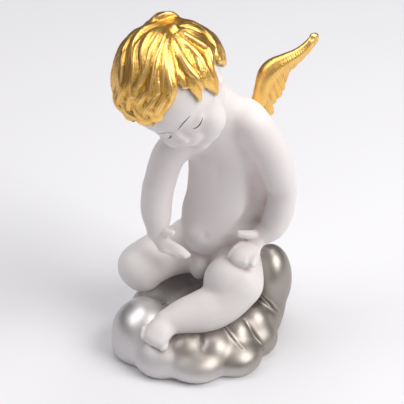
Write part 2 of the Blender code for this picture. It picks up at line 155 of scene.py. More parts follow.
def roll(lumps, stations, upward=None, steps=6, sides=16):
    """A roll through stations of place, half width and half thickness, with domed ends.

    upward(place) gives the way that the thickness points; without it the roll is round.
    Returns a row for each ring: its place, sideways and upward directions, and half sizes.
    """
    rows = curve_through([(*place, wide, thick) for place, wide, thick in stations], steps)
    places = [Vector(row[:3]) for row in rows]
    thinnest = 0.05 * MM
    sizes = [(max(row[3], thinnest), max(row[4], thinnest)) for row in rows]
    aims = [(b - a).normalized() for a, b in zip(places, places[1:])]
    aims = [aims[0]] + [(a + b).normalized() for a, b in zip(aims, aims[1:])] + [aims[-1]]
    dome = [math.radians(angle) for angle in (75, 50, 25)]
    plan = [(0, -math.sin(a), math.cos(a)) for a in dome]
    plan += [(index, 0, 1) for index in range(len(places))]
    plan += [(len(places) - 1, math.sin(a), math.cos(a)) for a in reversed(dome)]
    clay = bmesh.new()
    side = aims[0].orthogonal()
    rings, frames = [], []
    for index, along, share in plan:
        place, aim, (wide, thick) = places[index], aims[index], sizes[index]
        lift = upward(place) if upward else aim.cross(side)
        side = lift.cross(aim).normalized()
        up = aim.cross(side).normalized()
        middle = place + aim * along * min(wide, thick)
        ring = []
        for step in range(sides):
            turn = math.tau * step / sides
            out = side * math.cos(turn) * wide + up * math.sin(turn) * thick
            ring.append(clay.verts.new(middle + out * share))
        rings.append(ring)
        if share == 1:
            frames.append((*place, *side, *up, wide, thick))
    for low, high in zip(rings, rings[1:]):
        for k in range(sides):
            following = (k + 1) % sides
            clay.faces.new((low[k], low[following], high[following], high[k]))
    clay.faces.new(list(reversed(rings[0])))
    clay.faces.new(rings[-1])
    lump = empty_mesh("roll")
    clay.to_mesh(lump.data)
    clay.free()
    lumps.append(lump)
    return np.array(frames)


def joined(name, lumps):
    """All the lumps as one object at the origin."""
    whole = empty_mesh(name)
    deselect()
    for lump in lumps:
        lump.select_set(True)
    whole.select_set(True)
    bpy.context.view_layer.objects.active = whole
    bpy.ops.object.join()
    return whole


def skinned(item, grain, softening):
    """One skin round everything in the item, softened by that many passes."""
    make_active(item)
    skin = item.modifiers.new("Join", "REMESH")
    skin.mode = "VOXEL"
    skin.voxel_size = grain
    bpy.ops.object.modifier_apply(modifier=skin.name)
    soften = item.modifiers.new("Soften", "SMOOTH")
    soften.factor = 0.5
    soften.iterations = softening
    bpy.ops.object.modifier_apply(modifier=soften.name)
    return item


def pressed(name, before, additions, grain, softening):
    """A skin round what was there before and the lumps of the additions."""
    lumps = [before] if before else []
    for add in additions:
        add(lumps)
    return skinned(joined(name, lumps), grain, softening)


def thinned(item, triangles):
    """Takes out points where the surface is smooth, down to that many triangles."""
    make_active(item)
    fewer = item.modifiers.new("Fewer", "DECIMATE")
    faces = sum(len(face.vertices) - 2 for face in item.data.polygons)
    fewer.ratio = min(1, triangles / faces)
    bpy.ops.object.modifier_apply(modifier=fewer.name)


def press_line(item, line, width, depth, lip=0):
    """Presses a groove along a line of places, with a raised lip beside it if that is asked."""
    points, normals = points_of(item), normals_of(item)
    rows = curve_through(line, 10)
    near = np.flatnonzero(
        ((points > rows.min(0) - 3 * width) & (points < rows.max(0) + 3 * width)).all(1)
    )
    gaps = np.linalg.norm(points[near][:, None] - rows[None], axis=2)
    nearest, gap = gaps.argmin(1), gaps.min(1)
    ends = np.sin(np.pi * np.clip(nearest / (len(rows) - 1), 0.04, 0.96)) ** 0.5
    push = -depth * np.exp(-((gap / width) ** 2)) * ends
    push += lip * np.exp(-(((gap - 1.6 * width) / (0.8 * width)) ** 2)) * ends
    points[near] += normals[near] * push[:, None]
    set_points(item, points)


def press_spot(item, place, width, height):
    """Raises a soft spot, or presses one in where the height is below 0."""
    points, normals = points_of(item), normals_of(item)
    gap = np.linalg.norm(points - np.array(place), axis=1)
    set_points(item, points + normals * (height * np.exp(-((gap / width) ** 2)))[:, None])


def press_strands(item, rolls, spacing, depth, wander=0.12):
    """Presses fine strands along the rolls that the item was made of."""
    points, normals = points_of(item), normals_of(item)
    best = np.full(len(points), 1e9)
    groove = np.zeros(len(points))
    for number, rows in enumerate(rolls):
        places, sides, ups = rows[:, 0:3], rows[:, 3:6], rows[:, 6:9]
        wide, thick = rows[:, 9], rows[:, 10]
        reach = wide.max() * 1.5
        inside = (points > places.min(0) - reach) & (points < places.max(0) + reach)
        near = np.flatnonzero(inside.all(1))
        if not len(near):
            continue
        away = points[near][:, None] - places[None]
        nearest = (away**2).sum(2).argmin(1)
        off = away[np.arange(len(near)), nearest]
        across = (off * sides[nearest]).sum(1) / wide[nearest]
        rise = (off * ups[nearest]).sum(1) / thick[nearest]
        beyond = (off**2).sum(1) / wide[nearest] ** 2 - across**2
        score = across**2 + rise**2 + np.clip(beyond, 0, None) * 0.2
        share = nearest / (len(rows) - 1)
        strands = max(2, round(2 * wide.max() / spacing))
        phase = np.arcsin(np.clip(across, -1, 1)) / math.pi * strands
        phase += wander * np.sin(share * 9 + number * 2.3) + 0.37 * number
        heavy = 0.7 + 0.3 * np.sin(np.floor(phase) * 2.1 + number)
        line = (0.5 + 0.5 * np.cos(2 * math.pi * phase)) ** 2.5 * heavy
        line *= np.clip(wide[nearest] / wide.max() * 1.6 - 0.25, 0, 1)
        better = score < best[near]
        best[near[better]] = score[better]
        groove[near[better]] = line[better]
    set_points(item, points - normals * (depth * groove)[:, None])


# The figure's own places and sizes.


def at(x, y, z):
    """A place on the figure."""
    return Vector((x, y, z)) * MM + Vector((0, 0, SEAT_HEIGHT))


def size(*radii):
    return [radius * MM for radius in radii]


def station(x, y, z, radius, thick=None):
    """A place on a roll, with its half width and half thickness."""
    return at(x, y, z), radius * MM, (thick or radius) * MM


HEAD_MIDDLE = (-14.7, -8, 132.5)
HEAD_TURN = (31.6, -32.9, -24.5)
HEAD_TILT = Euler([math.radians(angle) for angle in HEAD_TURN])


def on_head(left, front, up):
    """A place on the head."""
    turned = HEAD_TILT.to_matrix() @ Vector((left, -front, up))
    return at(*HEAD_MIDDLE) + turned * MM


def torso_front(place):
    """The way that the chest and belly face."""
    return Vector((-0.3, -0.95, 0.12))


def add_trunk(lumps):
    """Hips, belly, ribs, chest, shoulders and neck."""
    roll(
        lumps,
        [
            station(7.5, 25, 12, 22, 16),
            station(9, 23, 28, 21.5, 17),
            station(12.5, 22, 42, 22.7, 15.5),
            station(15.2, 20, 55, 22.7, 13),
            station(14.5, 18.5, 70, 21.5, 13.5),
            station(13, 14, 86, 20.5, 14),
            station(10.5, 10, 97, 17, 12.5),
        ],
        upward=torso_front,
        sides=32,
    )
    roll(
        lumps,
        [
            station(8, 10, 88, 15.5, 8),
            station(8.5, 9.8, 80, 16.6, 8),
            station(8.5, 10, 68, 16.8, 8),
            station(7.6, 10, 55, 17.2, 8.5),
            station(4.5, 10.5, 45, 16.6, 9),
            station(2.5, 10.8, 37, 14.5, 9.5),
            station(1, 12, 30, 11.5, 9),
        ],
        upward=torso_front,
        sides=32,
    )
    for x in (18, -6):
        ball(lumps, at(x, 30, 13.5), size(14.5, 16, 15))
    ball(lumps, at(2, 10, 36), size(13, 9.5, 12))
    ball(lumps, at(-2.5, 14, 87), size(7.5, 8.5, 9.5))
    ball(lumps, at(31, 14, 72), size(8, 10, 18))
    roll(
        lumps,
        [
            station(-9, 9, 93, 9.3),
            station(9, 10, 102.5, 12.5),
            station(20, 8.5, 105, 11.6),
            station(26, 2.5, 104, 10.3),
        ],
        sides=24,
    )
    neck = [station(11, 11, 103, 13), station(6, 8, 114, 11.5), station(-1, 3, 122, 10.5)]
    roll(lumps, neck, sides=24)


def add_arms(lumps):
    """Upper arms, hanging beside the trunk."""
    roll(
        lumps,
        [
            station(26, 2, 104, 10.3),
            station(33.8, 1.8, 91, 9.8),
            station(37.4, 2.5, 81.5, 9.5),
            station(39.8, 3.3, 73, 8.8),
            station(41.9, 4, 65.5, 7.7),
        ],
        sides=24,
    )
    roll(
        lumps,
        [
            station(-9.5, 9, 93, 9.3),
            station(-16.8, 8, 84, 9.1),
            station(-20, 7.5, 75, 8.8),
            station(-22.5, 6.5, 65, 8.7),
        ],
        sides=24,
    )


def add_forearms(lumps):
    roll(
        lumps,
        [
            station(41.9, 4, 66.5, 7.6),
            station(41, 4, 56.5, 7.8),
            station(39.8, 4, 49.8, 7.8),
            station(36.9, 3, 42.6, 7.1),
            station(33, 2, 39.2, 6),
        ],
        sides=24,
    )
    roll(
        lumps,
        [
            station(-22.6, 6.5, 66, 8.6),
            station(-23.9, 5.5, 55, 8.4),
            station(-23.7, 4.5, 49, 8),
            station(-23.6, 3.5, 43.5, 6.6),
            station(-24.2, 3, 39.3, 5.2),
        ],
        sides=24,
    )


def add_thighs(lumps):
    """The left knee points forward, the right one out to the side."""
    left = [station(16, 22, 17, 13.5), station(19, 6, 17.5, 13), station(20.5, -9, 16.5, 12.5)]
    right = [station(-4, 23, 16, 13.5), station(-18.5, 20, 15, 13.6), station(-33, 10.5, 12.2, 13)]
    for thigh in (left, right):
        roll(lumps, thigh, sides=28)
    ball(lumps, at(15.8, -8.5, 16), size(15.5, 14, 14.5))
    ball(lumps, at(-1.4, 8.5, 12.5), size(5.2, 6.5, 7.5))


def add_shins(lumps):
    """The left shin crosses in front, the right one is folded back under the thigh."""
    roll(
        lumps,
        [
            station(20.5, -11, 16, 12.3),
            station(11, -15, 7, 11.8),
            station(1, -18, 3.4, 11.6),
            station(-9.4, -21, 2.2, 9.5),
            station(-18, -24, 0.9, 7),
        ],
        sides=28,
    )
    right = [station(-32, 11, 9, 11.8), station(-25, 26, 6, 10), station(-14, 38, 3.5, 6.8)]
    roll(lumps, right, sides=28)


def foot_top(place):
    """The way that the back of the left foot faces."""
    return Vector((-0.15, -0.45, 0.88))


def add_feet(lumps):
    """The left foot lies on the cloud with its toes forward; the right one is tucked behind."""
    roll(
        lumps,
        [
            station(-17.5, -23, 0.8, 6.6),
            station(-22, -29, -1.2, 7.4, 6),
            station(-25, -33, -3.2, 7.6, 4.4),
        ],
        upward=foot_top,
        sides=24,
    )
    roll(
        lumps,
        [
            station(-14, 38, 2.5, 6.6),
            station(-3, 42, 0.5, 6.8, 5.5),
            station(6, 44, -1, 6.5, 4.5),
        ],
    )


def toe_places():
    """The root, tip and radius of each toe of the left foot, from the great toe on."""
    toes = []
    for toe in range(5):
        share = toe / 4
        tip = Vector((-20.3 - 10.4 * share, -36 + 4 * share, -6.2 + 3.6 * share))
        toes.append((tip + Vector((0.6, 3.4, 2.2)), tip, 2.7 - 1.0 * share))
    return toes


def add_toes(lumps):
    for root, tip, radius in toe_places():
        roll(lumps, [station(*root, radius), station(*tip, radius * 0.95)])


# Each hand's places, the half width of its palm, the radius of its fingers, the radii along its
# thumb, and the web that joins its fingers, with half widths and half thicknesses.
HANDS = {
    "left": {
        "wrist": (31.5, 1.5, 39.6),
        "palm": (26.7, -2, 35.7),
        "knuckles": ((20.9, -3, 35.1), (27.6, -9, 31.6)),
        "tips": ((14.9, -8, 31.9), (18.2, -11.5, 32.1), (22.3, -14, 31.7), (26.2, -15, 31.1)),
        "thumb": ((28.8, 0, 39.4), (24, -2, 41.1), (19.5, -3, 42.4)),
        "width": 5.6,
        "finger": 2.5,
        "thumb_size": (2.9, 2.6, 2.1),
        "web": (
            ((25.5, -4.5, 34), 6.2, 3.3),
            ((21.5, -9.8, 32.3), 6.6, 3.5),
            ((20.3, -11.8, 31.2), 6, 3.2),
        ),
    },
    "right": {
        "wrist": (-24.2, 3, 39.3),
        "palm": (-21.5, 0.5, 36.3),
        "knuckles": ((-17.8, -1, 35.6), (-21.6, -1, 31.2)),
        "tips": ((-7.1, -5, 30.1), (-8.9, -6, 29.9), (-13.1, -5, 30.1), (-17.3, -4, 31)),
        "thumb": ((-22.5, 1, 40.6), (-18.3, -1.5, 42.3), (-15.4, -2.5, 42.6)),
        "width": 4.6,
        "finger": 1.9,
        "thumb_size": (2.6, 2.1, 1.7),
        "web": (
            ((-19.5, -1, 33.6), 3.8, 1.9),
            ((-13, -4.2, 31), 3.4, 1.5),
            ((-10, -5, 30.2), 2.4, 1.2),
        ),
    },
}


def add_hands(lumps):
    """Each hand: a flat palm from the wrist to the knuckles, four fingers and a thumb."""
    for hand in HANDS.values():
        first, last = (Vector(place) for place in hand["knuckles"])
        fan = (last - first).normalized()
        reach = (Vector(hand["palm"]) - Vector(hand["wrist"])).normalized()
        back_of_hand = fan.cross(reach)
        width = hand["width"]
        roll(
            lumps,
            [
                station(*hand["wrist"], 4.4),
                station(*hand["palm"], width, 3),
                station(*((first + last) / 2), width * 0.95, 2.4),
            ],
            upward=lambda place: back_of_hand,
        )
        web = [station(*place, wide, thick) for place, wide, thick in hand["web"]]
        roll(lumps, web, upward=lambda place: back_of_hand)
        for finger, tip in enumerate(hand["tips"]):
            root = first.lerp(last, finger / 3)
            bend = root.lerp(Vector(tip), 0.55) + Vector((0, 0, 0.6))
            wide = hand["finger"]
            bones = [station(*root, wide), station(*bend, wide * 0.95), station(*tip, wide * 0.78)]
            roll(lumps, bones)
        thumb = zip(hand["thumb"], hand["thumb_size"])
        roll(lumps, [station(*place, radius) for place, radius in thumb])


CRANIUM = Vector((24.5, 27.5, 25.5))
CRANIUM_MIDDLE = Vector((0, -3, 1))


def add_head(lumps):
    """Skull, cheeks, jaw and chin."""
    ball(lumps, on_head(*CRANIUM_MIDDLE), size(*CRANIUM), HEAD_TURN)
    ball(lumps, on_head(0, 5.5, -12), size(19.5, 18, 16.5), HEAD_TURN)
    for side in (1, -1):
        ball(lumps, on_head(9.8 * side, 12.3, -17.2), size(9.5, 9, 9.6), HEAD_TURN)
        ball(lumps, on_head(13.5 * side, 0, -13.5), size(7, 8, 8), HEAD_TURN)
        ball(lumps, on_head(6.2 * side, 14.2, -21.3), size(8, 7.5, 7.3), HEAD_TURN)
    ball(lumps, on_head(0, 17, -25), size(6.5, 6, 4.6), HEAD_TURN)


def add_features(lumps):
    """Brow, nose, lids, lips and ears."""
    bridge = [(on_head(0, 21.2, -3), *size(2.6, 1.8)), (on_head(0, 23.2, -11), *size(2.8, 2))]
    roll(lumps, bridge)
    ball(lumps, on_head(0, 17.5, -15.5), size(10.5, 7.2, 7), HEAD_TURN)
    ball(lumps, on_head(0, 23.8, -13), size(2.7, 2.3, 2.2), HEAD_TURN)
    for side in (1, -1):
        ball(lumps, on_head(2.7 * side, 22.2, -13.6), size(1.9, 1.9, 1.6), HEAD_TURN)
        ball(lumps, on_head(9.6 * side, 16.3, -8.4), size(5.8, 4, 4.4), HEAD_TURN)
        ball(lumps, on_head(21.8 * side, -2, -8), size(1.8, 4.2, 5.2), HEAD_TURN)
    ball(lumps, on_head(0, 22.3, -18.8), size(3.6, 1.7, 1.1), HEAD_TURN)
    ball(lumps, on_head(0, 20.9, -21.1), size(2.8, 1.7, 1.1), HEAD_TURN)


# Small dents and swellings of the skin: place, width and height, all in millimetres.
SKIN_SPOTS = (
    ((2, 0, 38.6), 2.2, -0.55),
    ((1.8, 0, 36.2), 2, -0.3),
)
STERNUM_LINE = ((8.6, 0, 86), (8.4, 0, 78), (7.8, 0, 68))
FLANK_LINE = ((28.5, 4, 82), (28, 5, 70), (28, 5, 60), (26, 4, 51), (21.5, 2.5, 43), (16, 2, 36))


def make_skin():
    """The bare figure, from the head without its hair to the toes."""
    name = "cherub_skin"
    skin = pressed(name, None, (add_trunk, add_arms, add_thighs), 0.9 * MM, 38)
    skin = pressed(name, skin, (add_forearms, add_shins, add_feet, add_head), 0.75 * MM, 18)
    skin = pressed(name, skin, (add_features,), 0.6 * MM, 12)
    skin = pressed(name, skin, (add_hands,), 0.5 * MM, 9)
    skin = pressed(name, skin, (add_toes,), 0.5 * MM, 3)
    for place, width, height in SKIN_SPOTS:
        found = skin.closest_point_on_mesh(at(*place))[1]
        press_spot(skin, found, width * MM, height * MM)
    sternum = [skin.closest_point_on_mesh(at(*place))[1] for place in STERNUM_LINE]
    press_line(skin, sternum, 4 * MM, 0.5 * MM)
    flank = [skin.closest_point_on_mesh(at(*place))[1] for place in FLANK_LINE]
    press_line(skin, flank, 4.5 * MM, 1.7 * MM)
    return skin


# The hair radiates from a whorl on the left of the crown. A place on it has a bearing, which is
# its direction from there, 0 to the front and 90 to the figure's left, and a fall, which is its
# distance round the skull, both in degrees.
WHORL = Vector((0.51, -0.43, 0.74)).normalized()
HAIR_LIFT = 0.2
LOCK_WIDTH = 4.7
FALL_MEAN = 97
FALL_SWING = 27
LONGEST_BEARING = -75
EVEN_LOCKS = 17
FIRST_BEARING = -10
LOCK_STEP = 14.5


def skull_out(place):
    """The way out of the skull at a place."""
    return (place - on_head(*CRANIUM_MIDDLE)).normalized()


def on_hair(bearing, fall, lift):
    """A place on the hair, lifted from the skull by that many millimetres."""
    front = Vector((0, 1, 0))
    ahead = (front - WHORL * front.dot(WHORL)).normalized()
    aside = ahead.cross(WHORL)
    turn, drop = math.radians(bearing), math.radians(fall)
    level = ahead * math.cos(turn) + aside * math.sin(turn)
    way = WHORL * math.cos(drop) + level * math.sin(drop)
    reach = 1 / math.sqrt(sum((share / radius) ** 2 for share, radius in zip(way, CRANIUM)))
    return on_head(*(CRANIUM_MIDDLE + way * (reach + lift)))


# Locks round the face, where the edge of the hair is cut in points: bearing, fall, half width.
FACE_LOCKS = (
    (3, 86, 4.4),
    (13, 73, 3.6),
    (25, 68, 3.8),
    (38, 85, 4.0),
    (50, 76, 4.0),
    (64, 88, 4.0),
    (77, 60, 4.4),
    (92, 66, 5.0),
    (107, 74, 5.4),
)

# The locks on top, as strokes over the hair: half width, half thickness, how far they stand up,
# how full their end is, and the bearing and fall of each place along them.
UPPER_LOCKS = (
    (5.0, 2.8, 1.0, 0.8, ((-160, 20), (-126, 38), (-108, 50), (-94, 64), (-82, 80), (-69, 102))),
    (5.8, 3.4, 2.4, 0.9, ((-160, 18), (-100, 23), (-65, 38), (-49, 56), (-45, 76), (-36, 103))),
    (5.8, 3.6, 2.8, 0.9, ((-167, 10), (-47, 16), (-33, 36), (-25, 54), (-26, 74), (-17, 101))),
    (5.0, 3.4, 2.8, 0.8, ((179, 8), (-9, 18), (-11, 38), (-7, 54), (-7, 72), (-7, 97))),
    (4.4, 3.2, 2.6, 0.6, ((149, 8), (10, 20), (4, 39), (6, 56), (7, 68), (4, 80), (-4, 93))),
    (4.2, 2.6, 1.4, 0.5, ((114, 6), (20, 22), (18, 40), (21, 56), (25, 69))),
    (4.4, 2.8, 1.6, 0.3, ((88, 8), (36, 28), (33, 46), (35, 66), (39, 87))),
    (4.6, 2.8, 1.4, 0.3, ((93, 10), (53, 32), (51, 50), (54, 70), (65, 91))),
    (4.6, 3.0, 2.8, 0.4, ((129, 8), (76, 19), (76, 33), (78, 46), (74, 60))),
    (5.4, 3.0, 2.4, 0.6, ((152, 15), (122, 25), (111, 41), (104, 54), (94, 66))),
    (6.0, 2.6, 1.5, 0.8, ((176, 26), (153, 36), (138, 46), (126, 56), (114, 68), (106, 75))),
    (5.2, 3.8, 2.6, 0.3, ((-132, 29), (-150, 30), (-168, 31), (178, 32), (166, 34))),
)


def under_locks():
    """The even under layer of hair: bearing, fall, half width and curl of each lock."""
    locks = [(*lock, 0) for lock in FACE_LOCKS]
    for index in range(EVEN_LOCKS):
        bearing = FIRST_BEARING - index * LOCK_STEP
        fall = FALL_MEAN + FALL_SWING * math.cos(math.radians(bearing - LONGEST_BEARING))
        fall += 3 * (-1) ** index
        curl = -16 if bearing > -120 else 12 * (-1) ** index
        locks.append((bearing, fall, LOCK_WIDTH, curl))
    return locks


def hair_roll(lumps, stations):
    """A lock through stations of bearing, fall, lift, half width and half thickness."""
    return roll(
        lumps,
        [
            (on_hair(bearing, fall, lift), wide * MM, thick * MM)
            for bearing, fall, lift, wide, thick in stations
        ],
        upward=skull_out,
        steps=6,
        sides=18,
    )


# Curls that lie over the upper locks, as strokes over the hair.
CURLS = (
    ((9, 63), (5, 72), (-1, 81), (-5, 90), (-11, 99)),
    ((3, 61), (-2, 71), (-9, 82), (-15, 91), (-20, 100)),
    ((-3, 58), (-12, 68), (-19, 78), (-24, 88), (-27, 98)),
    ((-16, 52), (-23, 64), (-29, 78), (-33, 91), (-33, 99)),
    ((-35, 45), (-38, 62), (-41, 78), (-48, 92), (-48, 100)),
    ((-53, 75), (-56, 87), (-53, 96), (-40, 99), (-30, 100)),
    ((-40, 78), (-40, 89), (-36, 97), (-25, 100), (-17, 101)),
    ((-26, 75), (-26, 86), (-22, 94), (-15, 99), (-8, 99)),
    ((-12, 75), (-12, 84), (-9, 91), (-4, 96)),
    ((-42, 14), (-32, 29), (-23, 43), (-13, 55), (-13, 68)),
    ((48, 13), (45, 27), (50, 40), (52, 54), (48, 67)),
    ((28, 19), (25, 36), (30, 51), (38, 64), (42, 75)),
    ((85, 13), (85, 27), (78, 40), (71, 52), (61, 62)),
    ((134, 25), (114, 36), (98, 47), (86, 57)),
)
CURL_WIDTH = 2.3
CURL_THICKNESS = 1.6
CURL_LIFT = 4.4


def split_lock(lumps, rows, number):
    """Finer locks that wave along a lock, on its back."""
    finer = []
    count = max(2, round(rows[:, 9].max() / (1.9 * MM)))
    for index in range(count):
        phase = 2.1 * number + 1.7 * index
        aside = 1.44 * (index + 0.5) / count - 0.72
        first, last = 0.06 + 0.16 * math.sin(phase) ** 2, 0.98 - 0.2 * math.sin(1.3 * phase) ** 2
        stations = []
        for step in range(9):
            share = first + (last - first) * step / 8
            row = rows[round(share * (len(rows) - 1))]
            place, side, up, wide, thick = row[0:3], row[3:6], row[6:9], row[9], row[10]
            across = aside + 0.3 * math.sin(6 * share + phase)
            rise = 0.8 * math.sqrt(max(0, 1 - across**2)) + 0.12 * math.sin(5 * share + 2 * phase)
            body = 0.3 + 0.7 * math.sin(math.pi * (0.12 + 0.76 * step / 8))
            spot = Vector(place + side * across * wide + up * rise * thick)
            stations.append((spot, wide * 0.36 * body, thick * 0.38 * body))
        finer.append(roll(lumps, stations, upward=skull_out, steps=3, sides=12))
    return finer


def make_hair():
    """All the locks as one piece over the skull, with strands along them."""
    lumps, locks = [], []
    for bearing, fall, width, curl in under_locks():
        stations = []
        for step in range(8):
            share = step / 7
            body = math.sin(math.pi * (0.14 + 0.74 * share))
            wave = curl * (share**2 - 0.6 * share) + 3 * math.sin(share * 6 + bearing)
            half = width * (0.25 + 0.75 * body) * (1 if step < 7 else 0.4)
            way = bearing + wave, 7 + (fall - 7) * share
            stations.append((*way, HAIR_LIFT + body, half, 0.9 + 2.3 * body))
        locks.append(hair_roll(lumps, stations))
    for wide, thick, lift, fullness, stroke in UPPER_LOCKS:
        stations = []
        for step, (bearing, fall) in enumerate(stroke):
            share = step / (len(stroke) - 1)
            fading = max(0, share - 0.6) / 0.4
            body = min(1, 0.35 + 2.2 * share) * (1 - (1 - fullness) * fading**1.5)
            swell = 0.6 * math.sin(8 * share + 2 * len(locks)) * math.sin(math.pi * share)
            shape = HAIR_LIFT + lift * body + swell, wide * body, thick * (0.3 + 0.7 * body)
            stations.append((bearing, fall, *shape))
        locks.append(hair_roll(lumps, stations))
    finer = []
    for number, lock in enumerate(locks):
        finer += split_lock(lumps, lock, number)
    for stroke in CURLS:
        stations = []
        for step, (bearing, fall) in enumerate(stroke):
            body = math.sin(math.pi * (0.15 + 0.7 * step / (len(stroke) - 1)))
            shape = CURL_LIFT * (0.6 + 0.4 * body), CURL_WIDTH * body, CURL_THICKNESS * body
            stations.append((bearing, fall, *shape))
        finer.append(hair_roll(lumps, stations))
    ball(lumps, on_hair(0, 0, HAIR_LIFT), size(6, 6, 2.4), HEAD_TURN)
    hair = skinned(joined("gilded_hair", lumps), 0.5 * MM, 3)
    press_strands(hair, finer, 0.85 * MM, 0.26 * MM)
    return hair


CLOUD_RADIUS = 45 * MM
CLOUD_BACK_HEIGHT = 48.5 * MM

# The lobes of the cloud: the middle's place in plan, its height, and the radii. Lengths in plan
# are shares of the cloud's radius, and heights are shares of the seat's height.
CLOUD_LOBES = (
    (-0.69, -0.29, 0.46, 0.38, 0.42, 0.71),
    (-0.73, -0.36, 0.20, 0.33, 0.30, 0.38),
    (-0.47, -0.62, 0.28, 0.33, 0.33, 0.46),
    (-0.07, -0.67, 0.24, 0.38, 0.37, 0.40),
    (-0.20, -0.58, 0.38, 0.24, 0.27, 0.44),
    (0.13, -0.58, 0.38, 0.24, 0.27, 0.44),
    (0.38, -0.56, 0.22, 0.33, 0.34, 0.40),
    (0.41, -0.38, 0.42, 0.20, 0.24, 0.46),
    (0.59, -0.19, 0.46, 0.24, 0.24, 0.50),
    (0.62, -0.26, 0.26, 0.28, 0.28, 0.42),
    (0.66, 0.04, 0.36, 0.29, 0.30, 0.48),
    (0.45, 0.45, 0.32, 0.35, 0.35, 0.60),
    (0.05, 0.62, 0.32, 0.36, 0.36, 0.60),
    (-0.38, 0.55, 0.32, 0.35, 0.35, 0.62),
    (-0.58, 0.22, 0.30, 0.30, 0.34, 0.58),
)


def cloud_puffs():
    """The middle and radii of every puff."""
    wide, seat, tall = CLOUD_RADIUS, SEAT_HEIGHT, CLOUD_BACK_HEIGHT / 2
    puffs = [((0, 0, seat * 0.4), (wide * 0.74, wide * 0.74, seat * 0.6))]
    for x, y, z, across, deep, high in CLOUD_LOBES:
        puffs.append(((x * wide, y * wide, z * seat), (across * wide, deep * wide, high * seat)))
    high = (0.82 * wide, 0.26 * wide, tall * 1.18), (0.26 * wide, 0.33 * wide, tall * 0.82)
    low = (0.74 * wide, 0.27 * wide, tall * 0.45), (0.27 * wide, 0.34 * wide, tall * 0.6)
    return puffs + [high, low]


def outside_puffs(points, puffs, blend):
    """How far each point is outside the puffs, which blend into each other over that length."""
    total = np.zeros(len(points))
    for middle, radii in puffs:
        scaled = (points - np.array(middle)) / np.array(radii)
        out = np.linalg.norm(scaled, axis=1)
        slope = np.linalg.norm(scaled / np.array(radii), axis=1)
        total += np.exp(-np.clip(out * (out - 1) / slope / blend, -60, 60))
    return -blend * np.log(total)


def draw_to_puffs(item, puffs, blend):
    """Moves every point on to the smooth surface of the blended puffs."""
    points = points_of(item)
    nudge = 0.02 * MM
    for _ in range(4):
        here = outside_puffs(points, puffs, blend)
        slopes = [
            (outside_puffs(points + nudge * axis, puffs, blend) - here) / nudge
            for axis in np.eye(3)
        ]
        slope = np.stack(slopes, 1)
        steep = np.maximum((slope**2).sum(1), 0.2)
        step = slope * (here / steep)[:, None]
        far = np.linalg.norm(step, axis=1)
        points -= step * np.minimum(1, 0.6 * MM / np.maximum(far, 1e-9))[:, None]
    set_points(item, points)


def cut_flat(item):
    """Cuts the item off at the floor and closes it with a flat face."""
    make_active(item)
    bpy.ops.object.mode_set(mode="EDIT")
    bpy.ops.mesh.select_all(action="SELECT")
    bpy.ops.mesh.bisect(plane_co=(0, 0, 0), plane_no=(0, 0, 1), clear_inner=True, use_fill=True)
    bpy.ops.object.mode_set(mode="OBJECT")


# Creases between the puffs: places in millimetres, width, depth and lip.
CLOUD_CREASES = (
    (((31.6, 0, 28), (36, -1, 22), (41, -2, 16)), 0.7, 0.8, 0.4),
    (((10.4, -20, 20), (15, -26, 17), (20.5, -31, 12)), 0.6, 0.5, 0.5),
    (((-0.5, -26, 20), (-0.5, -30, 17), (-0.5, -34, 14)), 1.8, 0.9, 0),
    (((22.9, -17.3, 22), (27.5, -21.8, 16), (32.1, -23.6, 8)), 1.3, 1.0, 0),
    (((-22, -9, 25), (-20.6, -6, 24), (-19, -3, 23)), 0.6, 0.4, 0.3),
)


# Where the silver changes, in millimetres: the start of the darker, warmer front and of the darker,
# warmer side, and how high the rougher foot reaches, each with the width that it fades over.
DARKER_FRONT, FRONT_FADE = -16, 14
DARKER_DEPTH, DEPTH_FADE = 14, 10
DARKER_SIDE, SIDE_FADE = 22, 8
FOOT_HEIGHT, FOOT_FADE = 13, 8


def mark_lustre(cloud):
    """Paints one mask where the silver is darker and warmer, over the front and the right side, and
    another where it is rougher toward the floor.
    """
    across, back, rise = (points_of(cloud) / MM).T
    front = np.clip((across - DARKER_FRONT - 0.3 * back) / FRONT_FADE, 0, 1)
    front *= np.clip((DARKER_DEPTH - back) / DEPTH_FADE, 0, 1)
    side = np.clip((across - DARKER_SIDE) / SIDE_FADE, 0, 1)
    paint_mask(cloud, "shade_edge_and_dark_front", np.maximum(front, side) * 0.9)
    paint_mask(cloud, "foot", np.clip((FOOT_HEIGHT - 0.25 * across - rise) / FOOT_FADE, 0, 1))


def make_cloud():
    lumps, puffs = [], cloud_puffs()
    for middle, radii in puffs:
        ball(lumps, middle, radii)
    cloud = skinned(joined("silvered_cloud", lumps), 0.7 * MM, 4)
    draw_to_puffs(cloud, puffs, 1.4 * MM)
    for line, width, depth, lip in CLOUD_CREASES:
        found = [cloud.closest_point_on_mesh(Vector(place) * MM)[1] for place in line]
        press_line(cloud, found, width * MM, depth * MM, lip * MM)
    cut_flat(cloud)
    mark_lustre(cloud)
    return cloud


